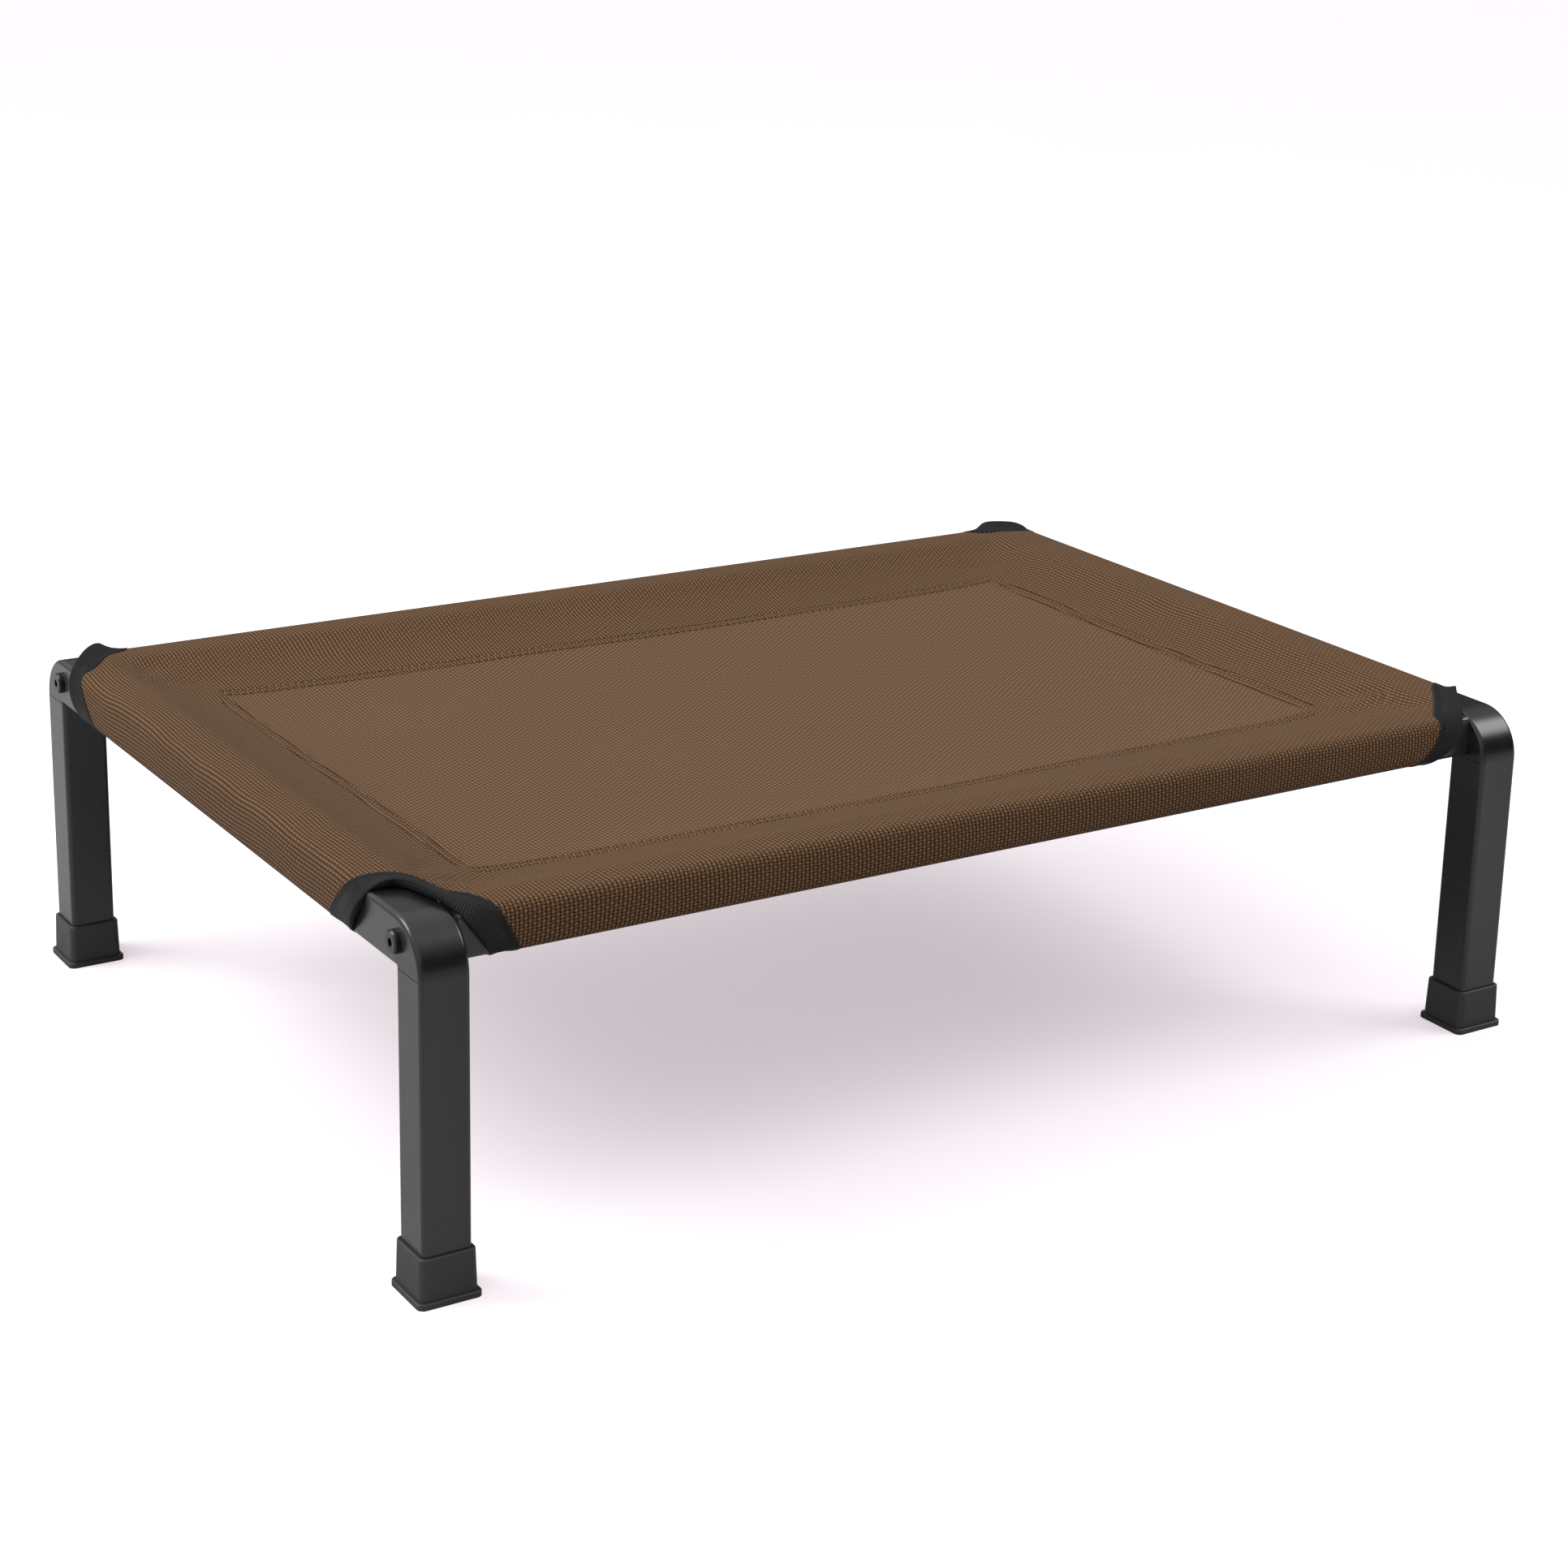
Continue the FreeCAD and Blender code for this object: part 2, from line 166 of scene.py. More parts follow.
def drift(x, y):
    """Very low, wide unevenness of hand-stretched cloth, the sum of two waves."""
    inside = np.clip(1 - (x / BAR_IN) ** 2, 0, 1) * np.clip(1 - (y / RAIL_IN) ** 2, 0, 1)
    wide = np.sin(x / DRIFT_WIDE[0] + y / DRIFT_WIDE[1])
    narrow = np.sin(x / DRIFT_NARROW[0] - y / DRIFT_NARROW[1] + DRIFT_START)
    return DRIFT * inside * (wide + narrow)


def wrap_section(outer, inner, top, bottom):
    """Section of the cloth round a tube, from its top's outer edge to its underside's inner edge.

    Points are (distance outward, height), with the cloth's own length from the first one.
    """
    out = outer + CLOTH_LIFT
    high = top + CLOTH_LIFT
    low = bottom - CLOTH_LIFT
    points = []
    for turn in np.linspace(90, 0, ROUND_POINTS):
        points.append((out - ROUND + ROUND * math.cos(math.radians(turn)),
                       high - ROUND + ROUND * math.sin(math.radians(turn))))
    for share in np.linspace(0, 1, FACE_POINTS)[1:-1]:
        bow = BOW * math.sin(math.pi * share)
        points.append((out + bow, high - ROUND + share * (low - high + 2 * ROUND)))
    for turn in np.linspace(0, -90, ROUND_POINTS):
        points.append((out - ROUND + ROUND * math.cos(math.radians(turn)),
                       low + ROUND + ROUND * math.sin(math.radians(turn))))
    for share in np.linspace(0, 1, BELOW_POINTS)[1:]:
        points.append((out - ROUND + share * (inner + UNDER_STOP - out + ROUND), low))
    points = np.array(points)
    steps = np.hypot(*np.diff(points, axis=0).T)
    return points, np.concatenate([[0.0], np.cumsum(steps)])


side_wrap, side_run = wrap_section(BAR_OUT, BAR_IN, BAR_TOP, BAR_TOP - TUBE)
end_wrap, end_run = wrap_section(RAIL_OUT, RAIL_IN, RAIL_TOP, RAIL_BOTTOM)


def lean(height, top, bottom):
    """How far the cut-out's edge has moved on its way down a tube, from 0 to 1."""
    return float(np.clip((top + CLOTH_LIFT - height) / (top - bottom + 2 * CLOTH_LIFT), 0, 1))


def along_bar(corner, height):
    """|y| of a cut-out's edge on a side bar, at a height."""
    return corner.bar_y - LEAN_Y * lean(height, BAR_TOP, BAR_TOP - TUBE)


def along_rail(corner, height):
    """|x| of a cut-out's edge on a rail, at a height."""
    return corner.rail_x - corner.lean_x * lean(height, RAIL_TOP, RAIL_BOTTOM) ** corner.lean_power


def cut_line(corner):
    """Plan line of a cut-out on top of the cloth, in three parts: over the bar, the turn, over the rail."""
    turn = np.array([corner.turn_x, corner.turn_y])
    bar_end = np.array([side_wrap[0][0], corner.bar_y])
    rail_end = np.array([corner.rail_x, end_wrap[0][0]])
    before = turn + (bar_end - turn) / np.linalg.norm(bar_end - turn) * corner.soft
    after = turn + (rail_end - turn) / np.linalg.norm(rail_end - turn) * corner.soft
    share = np.linspace(0, 1, TURN_POINTS)[:, None]
    rounded = before * (1 - share) ** 2 + turn * 2 * share * (1 - share) + after * share ** 2
    share = np.linspace(0, 1, SIDE_POINTS)[:, None]
    return bar_end + (before - bar_end) * share, rounded, after + (rail_end - after) * share


def hem_rows(is_side, corner):
    """Rows of a hem strip at one corner, from the panel's edge out, round the tube and back under the lap.

    Each row is (distance outward, height, cloth coordinate, half length, kind). The height is None on the
    sling's upper face (kind top), a number round the tube (wrap), and on the way back (under) it is the
    tube's underside with the share of the way up from it to the sling.
    """
    wrap, run = (side_wrap, side_run) if is_side else (end_wrap, end_run)
    seam = SEAM_X if is_side else SEAM_Y
    over_bar, turn, over_rail = cut_line(corner)
    inmost = turn[-1]
    slope = (inmost[1] - SEAM_Y) / (inmost[0] - SEAM_X)
    lap = LAP * (1 - np.linspace(0, 1, LAP_ROWS))
    mitre = [(SEAM_X - short, SEAM_Y - short) for short in lap]
    mitre += [(x, SEAM_Y + (x - SEAM_X) * slope) for x in np.linspace(SEAM_X, inmost[0], MITRE_ROWS)[1:]]
    rows = []
    for x, y in mitre:
        place, half = (x, y) if is_side else (y, x)
        rows.append((place, None, place, half, "top"))
    inside = rows[:LAP_ROWS - 1]
    outward = [*turn[-2::-1], *over_bar[-2:0:-1]] if is_side else over_rail[1:-1]
    for x, y in outward:
        place, half = (x, y) if is_side else (y, x)
        rows.append((place, None, place, half, "top"))
    edge = wrap[0][0]
    for (place, height), length in zip(wrap, run):
        half = along_bar(corner, height) if is_side else along_rail(corner, height)
        rows.append((place, height, edge + length, half, "wrap"))
    inner, low = wrap[-1]
    cloth = edge + run[-1]
    half = rows[-1][3]
    for share in np.linspace(0, 1, BACK_ROWS)[1:]:
        place = inner + share * (seam - inner)
        across = (place - seam) * slope if is_side else (place - seam) / slope
        limit = (SEAM_Y if is_side else SEAM_X) + across
        along = cloth + (inner - place) * UNDER_SLACK
        rows.append((place, (low, share), along, min(half, limit), "under"))
    for place, _, _, half, _ in reversed(inside):
        rows.append((place, (low, 1.0), cloth + (inner - place) * UNDER_SLACK, half, "under"))
    return rows


def hem_height(row, is_side, x, y):
    """Heights along a row of a hem strip."""
    _, height, _, _, kind = row
    if kind == "top":
        return top_height(x, y)
    wrap = side_wrap if is_side else end_wrap
    if kind == "wrap":
        edge = np.full_like(x, wrap[0][0])
        settle = (top_height(edge, y) if is_side else top_height(x, edge)) - wrap[0][1]
        fade = np.clip((height - wrap[ROUND_POINTS - 1][1]) / ROUND, 0, 1)
        return height + settle * fade
    low, share = height
    return low + (top_height(x, y) - CLOTH - UNDER_GAP - low) * share


class Cloth:
    """Collects the quads of the sling, with each corner's place on the flat cloth."""

    def __init__(self):
        self.points = []
        self.faces = []
        self.flat = []
        self.layers = []

    def add_grid(self, points, flat, layers, flip):
        """points and flat are rows by columns by 3 or 2. layers is 1 on a hem and 0 on the panel."""
        rows, columns = points.shape[:2]
        base = sum(len(block) for block in self.points)
        self.points.append(points.reshape(-1, 3))
        self.flat.append(flat.reshape(-1, 2))
        self.layers.append(np.full(rows * columns, layers))
        for row in range(rows - 1):
            for column in range(columns - 1):
                a = base + row * columns + column
                quad = (a, a + 1, a + columns + 1, a + columns)
                self.faces.append(quad[::-1] if flip else quad)


def build_sling():
    """The sling as one cloth: the panel and four hems that wrap the tubes and close under the stitching."""
    cloth = Cloth()
    span_x = np.linspace(-1, 1, COLUMNS_X)
    span_y = np.linspace(-1, 1, COLUMNS_Y)
    x, y = np.meshgrid(span_x * (SEAM_X - LAP), span_y * (SEAM_Y - LAP))
    panel = np.stack([x, y, top_height(x, y)], axis=-1)
    cloth.add_grid(panel, panel[..., :2], 0.0, False)
    strips = [(True, -1, "front_left", "back_left"), (True, 1, "front_right", "back_right"),
              (False, -1, "front_left", "front_right"), (False, 1, "back_left", "back_right")]
    for is_side, way, first, last in strips:
        share = ((span_y if is_side else span_x) + 1) / 2
        points, flat = [], []
        for low, high in zip(hem_rows(is_side, CORNERS[first]), hem_rows(is_side, CORNERS[last])):
            outward = way * (low[0] + (high[0] - low[0]) * share)
            along = -low[3] + (low[3] + high[3]) * share
            across = way * (low[2] + (high[2] - low[2]) * share)
            x, y = (outward, along) if is_side else (along, outward)
            points.append(np.stack([x, y, hem_height(low, is_side, x, y)], axis=-1))
            flat.append(np.stack([across, along] if is_side else [along, across], axis=-1))
        cloth.add_grid(np.array(points), np.array(flat), 1.0, (way < 0) == (not is_side))
    points = np.concatenate(cloth.points) * MM
    flat = np.concatenate(cloth.flat) * MM
    layers = np.concatenate(cloth.layers)
    mesh = bpy.data.meshes.new("sling_cloth")
    mesh.from_pydata(points.tolist(), [], cloth.faces)
    corners = np.array([corner for face in cloth.faces for corner in face])
    set_flat(mesh, flat[corners])
    hem = mesh.attributes.new("hem", "FLOAT", "POINT")
    hem.data.foreach_set("value", layers)
    piece = link_piece("sling_cloth", mesh)
    weld = piece.modifiers.new("weld", "WELD")
    weld.merge_threshold = WELD * MM
    thick = piece.modifiers.new("thickness", "SOLIDIFY")
    thick.thickness = CLOTH * MM
    thick.offset = -1
    apply_modifiers(piece)
    return piece


# ---------------------------------------------------------------- shared mesh helpers

def link_piece(name, mesh):
    """New object for a mesh, shaded smooth."""
    mesh.validate()
    mesh.shade_smooth()
    piece = bpy.data.objects.new(name, mesh)
    bpy.context.scene.collection.objects.link(piece)
    return piece


def set_flat(mesh, corners):
    """Stores each face corner's place on the flat cloth, in metres, as the weave's UV map."""
    layer = mesh.uv_layers.new(name="cloth")
    layer.data.foreach_set("uv", np.asarray(corners, float).reshape(-1))


def apply_modifiers(piece):
    """Replaces a piece's mesh by what its modifiers make."""
    graph = bpy.context.evaluated_depsgraph_get()
    made = bpy.data.meshes.new_from_object(piece.evaluated_get(graph), depsgraph=graph)
    piece.modifiers.clear()
    piece.data = made


def ring_faces(count, around, base=0):
    """Faces of a closed tube through rings of points, which are numbered from base."""
    faces = []
    for ring in range(base, base + (count - 1) * around, around):
        for step in range(around):
            after = (step + 1) % around
            faces.append((ring + step, ring + after, ring + around + after, ring + around + step))
    last = base + (count - 1) * around
    faces.append(tuple(range(base, base + around))[::-1])
    faces.append(tuple(range(last, last + around)))
    return faces


def tube_mesh(name, rings, length, section):
    """Closed tube through rings of points, with flat coordinates along the tube and round its section."""
    count, around = rings.shape[:2]
    corner_flat = []
    for ring in range(count - 1):
        for step in range(around):
            far = section[min(step + 1, around - 1)]
            corner_flat += [(length[ring], section[step]), (length[ring], far),
                            (length[ring + 1], far), (length[ring + 1], section[step])]
    corner_flat += [(length[0], place) for place in section[::-1]]
    corner_flat += [(length[-1], place) for place in section]
    mesh = bpy.data.meshes.new(name)
    mesh.from_pydata((rings.reshape(-1, 3) * MM).tolist(), [], ring_faces(count, around))
    set_flat(mesh, np.array(corner_flat) * MM)
    return mesh


# ---------------------------------------------------------------- binding tape

TAPE_MAP = 14.0                         # length on the weave's map for a distance across of 1
TAPE_CLEAR = 0.25                       # between the tapes and the tubes
TAPE_LAP = 2.5                          # of the tape over the cloth
TAPE_RINGS = 150
TUBE_ROUND = 2.5                        # of the tubes' edges
WAY_EVEN = 12                           # smoothing passes over the directions across the tape
TAPE_EVEN = 121                         # and over the tape itself
EDGE_EVEN = 0.1                         # share of that smoothing at the tape's edge on the cloth

# Section of the folded tape: distance across from the cloth's edge, from -1 to 1, and height above its face
TAPE_SECTION = [
    (-1.0, 0.10), (-0.94, 0.55), (-0.5, 0.80), (0.15, 0.85), (0.40, 0.95), (0.62, 1.25), (0.80, 1.75),
    (0.90, 2.0), (0.97, 1.75), (1.0, 1.0), (0.98, 0.0), (0.92, -0.75), (0.80, -1.0), (0.60, -0.9),
    (0.30, -1.1), (-0.94, -1.3),
]

# Distance from the cloth's edge to the tape's fold, and how far the fold stands off, along the cut-out
FOLD_SHARES = [0.0, 0.12, 0.25, 0.34, 0.44, 0.52, 0.65, 0.75, 0.84, 0.92, 1.0]
FOLD_ACROSS = [19.0, 22.5, 21.5, 15.5, 12.5, 12.5, 16.0, 18.5, 14.0, 10.5, 11.0]
FOLD_LIFTS = [1.8, 1.6, 2.0, 2.6, 1.9, 2.2, 2.0, 1.6, 0.9, 1.6, 1.8]


def evened(rows):
    """Each row but the first and the last, moved towards its two neighbours."""
    even = rows.copy()
    even[1:-1] = 0.25 * rows[:-2] + 0.5 * rows[1:-1] + 0.25 * rows[2:]
    return even


def lengths_along(rings):
    """Distance of each ring from the first one, along the line through their middles."""
    middle = rings.mean(axis=1)
    return np.concatenate([[0.0], np.cumsum(np.linalg.norm(np.diff(middle, axis=0), axis=1))])


def cutout_path(corner):
    """Edge of the cloth round a cut-out, from under the side bar to under the rail, for |x| and |y|.

    Each sample is (x, y, height or None on the sling's upper face, direction across the tape).
    """
    line = np.concatenate([part[1:] for part in cut_line(corner)])
    tangent = np.gradient(line, axis=0)
    ways = np.stack([tangent[:, 1], -tangent[:, 0]], axis=1)
    ways[0] = (0.0, 1.0)
    ways[-1] = (1.0, 0.0)
    for _ in range(WAY_EVEN):
        ways = ways / np.linalg.norm(ways, axis=1, keepdims=True)
        ways = evened(ways)
    ways = ways / np.linalg.norm(ways, axis=1, keepdims=True)
    samples = [(place, along_bar(corner, height), height, (0.0, 1.0)) for place, height in side_wrap[::-1]]
    samples += [(x, y, None, tuple(way)) for (x, y), way in zip(line, ways)]
    samples += [(along_rail(corner, height), place, height, (1.0, 0.0)) for place, height in end_wrap[1:]]
    return samples


def tape_point(sample, across):
    """Point of the cloth's face, extended past its edge, at a distance across the tape."""
    x, y, height, way = sample
    px, py = x + way[0] * across, y + way[1] * across
    if height is None:
        height = float(top_height(np.array(px), np.array(py)))
    return np.array([px, py, height])


def tape_normal(samples, index):
    """Outward normal of the cloth at its edge."""
    before = tape_point(samples[max(index - 1, 0)], 0)
    after = tape_point(samples[min(index + 1, len(samples) - 1)], 0)
    inner = tape_point(samples[index], -0.5)
    outer = tape_point(samples[index], 0.5)
    normal = np.cross(outer - inner, after - before)
    return normal / np.linalg.norm(normal)


def tape_rings(corner):
    """Sections of the tape along the cut-out, evened out most at the fold, for |x| and |y|."""
    samples = cutout_path(corner)
    steps = [math.dist(tape_point(a, 0), tape_point(b, 0)) for a, b in zip(samples, samples[1:])]
    shares = np.concatenate([[0.0], np.cumsum(steps)]) / sum(steps)
    reach = np.interp(shares, FOLD_SHARES, FOLD_ACROSS) * corner.reach
    lifts = np.interp(shares, FOLD_SHARES, FOLD_LIFTS)
    rings = []
    for index in range(len(samples)):
        normal = tape_normal(samples, index)
        ring = []
        for across, rise in TAPE_SECTION:
            inward = max(across, 0.0)
            here = tape_point(samples[index], across * (reach[index] if across > 0 else TAPE_LAP))
            lift = lifts[index] * inward ** 2 if rise > 0 else 0.0
            ring.append(here + normal * (rise + lift))
        rings.append(ring)
    rings = resample(np.array(rings), TAPE_RINGS)
    weight = np.clip([across for across, _ in TAPE_SECTION], EDGE_EVEN, 1.0)[None, :, None]
    for _ in range(TAPE_EVEN):
        rings = rings + (evened(rings) - rings) * weight
    beside_bar = rings[..., 1] < RAIL_OUT + TAPE_CLEAR
    rings = clear_of_tube(rings, (0, 2), (BAR_IN, BAR_TOP - TUBE), (BAR_OUT, BAR_TOP), beside_bar)
    beside_rail = rings[..., 0] < BAR_IN
    return clear_of_tube(rings, (1, 2), (RAIL_IN, RAIL_BOTTOM), (RAIL_OUT, RAIL_TOP), beside_rail)


def clear_of_tube(points, axes, low, high, chosen):
    """Moves the chosen points out of a tube, whose section has rounded corners, along its nearest face."""
    low, high = np.array(low), np.array(high)
    half = (high - low) / 2 - TUBE_ROUND
    flat = points[..., list(axes)] - (low + high) / 2
    past = np.abs(flat) - half
    outside = np.maximum(past, 0)
    corner = np.linalg.norm(outside, axis=-1)
    depth = corner + np.minimum(past.max(axis=-1), 0) - TUBE_ROUND
    nearest = np.where(past == past.max(axis=-1, keepdims=True), 1.0, 0.0)
    rounded = outside / np.maximum(corner, 1e-9)[..., None]
    away = np.where(corner[..., None] > 0, rounded, nearest) * np.sign(flat)
    push = np.where(chosen, np.maximum(TAPE_CLEAR - depth, 0), 0)
    moved = points.copy()
    moved[..., list(axes)] += away * push[..., None]
    return moved


def build_binding(name, corner):
    """Folded tape round one cut-out."""
    rings = tape_rings(corner)
    length = lengths_along(rings)
    section = np.array(TAPE_SECTION) * (TAPE_MAP, 1.0)
    around = np.concatenate([[0.0], np.cumsum(np.hypot(*np.diff(section, axis=0).T))])
    rings = rings * np.array([corner.way_x, corner.way_y, 1.0])
    if corner.way_x * corner.way_y < 0:
        rings = rings[:, ::-1]
        around = around[::-1]
    return link_piece(name, tube_mesh(name, rings, length, around))


def resample(rings, count):
    """Rings at even steps along the tape's length."""
    length = lengths_along(rings)
    wanted = np.linspace(0, length[-1], count)
    flat = rings.reshape(len(rings), -1)
    made = np.stack([np.interp(wanted, length, column) for column in flat.T], axis=1)
    return made.reshape(count, rings.shape[1], 3)


# ---------------------------------------------------------------- stitches

STITCH = 3.5                            # length of one stitch that shows
STITCH_STEP = 4.4
STITCH_LIFT = 0.30                      # of its middle above its ends
STITCH_SINK = 0.25                      # of the thread into the cloth
STITCH_JOG = 0.12                       # how far the stitches wander off their row
ROW_MARGIN = 1.0                        # from a row's end to its first stitch
STITCH_RINGS = 6
THREAD = 0.36                           # radius
THREAD_SIDES = 6
THREAD_END = 0.08                       # share of its half wave that is cut off at each end
WHIP_COUNT = 66                         # stitches over the edge of one tape
WHIP_LIFT = 0.40
WHIP_START = 0.15                       # share of the way over the tape's edge at which they start
WHIP_PAST = 0.35                        # and share by which they go past it


def stitch_rings(start, end, lift):
    """Rings of one stitch, a thread that rises from the cloth and dips back into it."""
    along = end - start
    along = along / np.linalg.norm(along)
    side = np.cross([0.0, 0.0, 1.0], along)
    side = side / np.linalg.norm(side)
    up = np.cross(along, side)
    rings = []
    for share in np.linspace(0, 1, STITCH_RINGS):
        swell = math.sin(math.pi * (THREAD_END + (1 - 2 * THREAD_END) * share)) ** 0.5
        centre = start + (end - start) * share + up * (lift * swell - STITCH_SINK)
        ring = []
        for step in range(THREAD_SIDES):
            turn = math.radians(360 / THREAD_SIDES * step)
            ring.append(centre + (side * math.cos(turn) + up * math.sin(turn)) * THREAD * swell)
        rings.append(ring)
    return np.array(rings)


def build_stitches():
    """Both rows of stitches on all four hems, as one piece."""
    pieces = []
    for row in range(2):
        row_x = SEAM_X - row * ROW_GAP
        row_y = SEAM_Y - row * ROW_GAP
        for along_x, line, half in ((True, row_y, END_ROW_HALF), (False, row_x, SIDE_ROW_HALF)):
            count = int((2 * half - 2 * ROW_MARGIN) // STITCH_STEP)
            first = -half + ROW_MARGIN + 0.5 * STITCH_STEP * row
            for way in (-1, 1):
                for index in range(count):
                    begin = first + index * STITCH_STEP
                    across = way * line + STITCH_JOG * math.sin(index * 2.3 + row + way)
                    ends = []
                    for place in (begin, begin + STITCH):
                        x, y = (place, across) if along_x else (across, place)
                        ends.append(np.array([x, y, float(top_height(np.array(x), np.array(y)))]))
                    pieces.append(stitch_rings(ends[0], ends[1], STITCH_LIFT))
    return join_rings("hem_stitches", pieces)


def build_tape_stitches():
    """Thread whipped over the edge of all four tapes on the cloth, from the tape to the cloth beside it."""
    pieces = []
    for corner in CORNERS.values():
        rings = resample(tape_rings(corner), 2 * WHIP_COUNT)
        rings = rings * np.array([corner.way_x, corner.way_y, 1.0])
        for index in range(WHIP_COUNT):
            on_tape = rings[2 * index, 2]
            on_cloth = rings[2 * index + 1, 0]
            over = on_cloth - on_tape
            pieces.append(stitch_rings(on_tape + WHIP_START * over, on_cloth + WHIP_PAST * over, WHIP_LIFT))
    return join_rings("tape_stitches", pieces)


def join_rings(name, pieces):
    """One mesh from many short threads."""
    points, faces = [], []
    for rings in pieces:
        faces += ring_faces(*rings.shape[:2], base=len(points))
        points += (rings.reshape(-1, 3) * MM).tolist()
    mesh = bpy.data.meshes.new(name)
    mesh.from_pydata(points, [], faces)
    return link_piece(name, mesh)


# ---------------------------------------------------------------- materials

class Shader:
    """A node material, with short calls for the nodes it is made of."""

    def __init__(self, name):
        self.material = bpy.data.materials.new(name)
        self.material.use_nodes = True
        self.tree = self.material.node_tree
        self.surface = self.tree.nodes["Principled BSDF"]

    def put(self, socket, value):
        """Links an output to a socket, or sets its value."""
        if isinstance(value, bpy.types.NodeSocket):
            self.tree.links.new(value, socket)
        else:
            socket.default_value = value

    def math(self, operation, first, second=0.0):
        """A sum or another function of one or two numbers."""
        node = self.tree.nodes.new("ShaderNodeMath")
        node.operation = operation
        self.put(node.inputs[0], first)
        self.put(node.inputs[1], second)
        return node.outputs[0]

    def noise(self, scale, detail):
        """Noise over the object, at a scale for each metre."""
        place = self.tree.nodes.new("ShaderNodeTexCoord")
        node = self.tree.nodes.new("ShaderNodeTexNoise")
        self.put(node.inputs["Vector"], place.outputs["Object"])
        node.inputs["Scale"].default_value = scale
        node.inputs["Detail"].default_value = detail
        return node.outputs["Fac"]

    def cloth(self):
        """Position on the flat cloth, in metres, as two numbers."""
        uv = self.tree.nodes.new("ShaderNodeUVMap")
        uv.uv_map = "cloth"
        split = self.tree.nodes.new("ShaderNodeSeparateXYZ")
        self.tree.links.new(uv.outputs[0], split.inputs[0])
        return split.outputs[0], split.outputs[1]

    def spread(self, value, low, high, to_low, to_high, smooth=False):
        """A value moved from the range low to high to another one, and held inside it."""
        node = self.tree.nodes.new("ShaderNodeMapRange")
        node.interpolation_type = "SMOOTHSTEP" if smooth else "LINEAR"
        for socket, number in zip(node.inputs, (value, low, high, to_low, to_high)):
            self.put(socket, number)
        return node.outputs[0]

    def mix(self, share, first, second):
        """A colour between two."""
        node = self.tree.nodes.new("ShaderNodeMix")
        node.data_type = "RGBA"
        self.put(node.inputs[0], share)
        self.put(node.inputs[6], first)
        self.put(node.inputs[7], second)
        return node.outputs[2]

    def attribute(self, name):
        """A number stored on the mesh."""
        node = self.tree.nodes.new("ShaderNodeAttribute")
        node.attribute_name = name
        return node.outputs["Fac"]

    def bump(self, height, distance, strength):
        """Relief on the surface, distance high in metres."""
        node = self.tree.nodes.new("ShaderNodeBump")
        node.inputs["Strength"].default_value = strength
        node.inputs["Distance"].default_value = distance
        self.put(node.inputs["Height"], height)
        self.put(self.surface.inputs["Normal"], node.outputs[0])

    def set(self, **values):
        """Sets or links the surface's own sockets, named with _ for a space."""
        for name, value in values.items():
            self.put(self.surface.inputs[name.replace("_", " ")], value)


def rgb(red, green, blue):
    """An opaque colour."""
    return (red, green, blue, 1.0)


YARN_U = 2.27 * MM                      # spacing of the mesh's yarns, across the bed's length
YARN_V = 1.62 * MM                      # and across its depth
YARN_POWER = 0.75                       # of a sine, which rounds a yarn's section
YARN_LOW = 0.15                         # height of a yarn that passes under another
WARP_HIGH = 1.0                         # and of one that passes over
WEFT_HIGH = 0.85
WANDER_U = 4.0 * MM                     # how far the yarns wander from their places
WANDER_V = 3.0 * MM
RIB_STEP = 1.5 * MM                     # of the tape's herringbone, along it
RIB_BAND = 7.0 * MM                     # width of one slant, across it
RIB_SLANT = 0.9
PICK_STEP = 0.9 * MM                    # spacing of its threads, across the tape


def plain_weave(shader, u, v):
    """Heights of a plain weave's warp and weft, which pass over each other in turn."""
    sine_u = shader.math("SINE", shader.math("MULTIPLY", u, math.pi / YARN_U))
    sine_v = shader.math("SINE", shader.math("MULTIPLY", v, math.pi / YARN_V))
    round_u = shader.math("POWER", shader.math("ABSOLUTE", sine_u), YARN_POWER)
    round_v = shader.math("POWER", shader.math("ABSOLUTE", sine_v), YARN_POWER)
    over_u = shader.math("MULTIPLY", shader.math("SIGN", sine_u), sine_v)
    over_v = shader.math("MULTIPLY", shader.math("SIGN", sine_v), sine_u)
    warp = shader.math("MULTIPLY", round_u, shader.spread(over_u, -1, 1, YARN_LOW, WARP_HIGH))
    weft = shader.math("MULTIPLY", round_v, shader.spread(over_v, 1, -1, YARN_LOW, WEFT_HIGH))
    return warp, weft


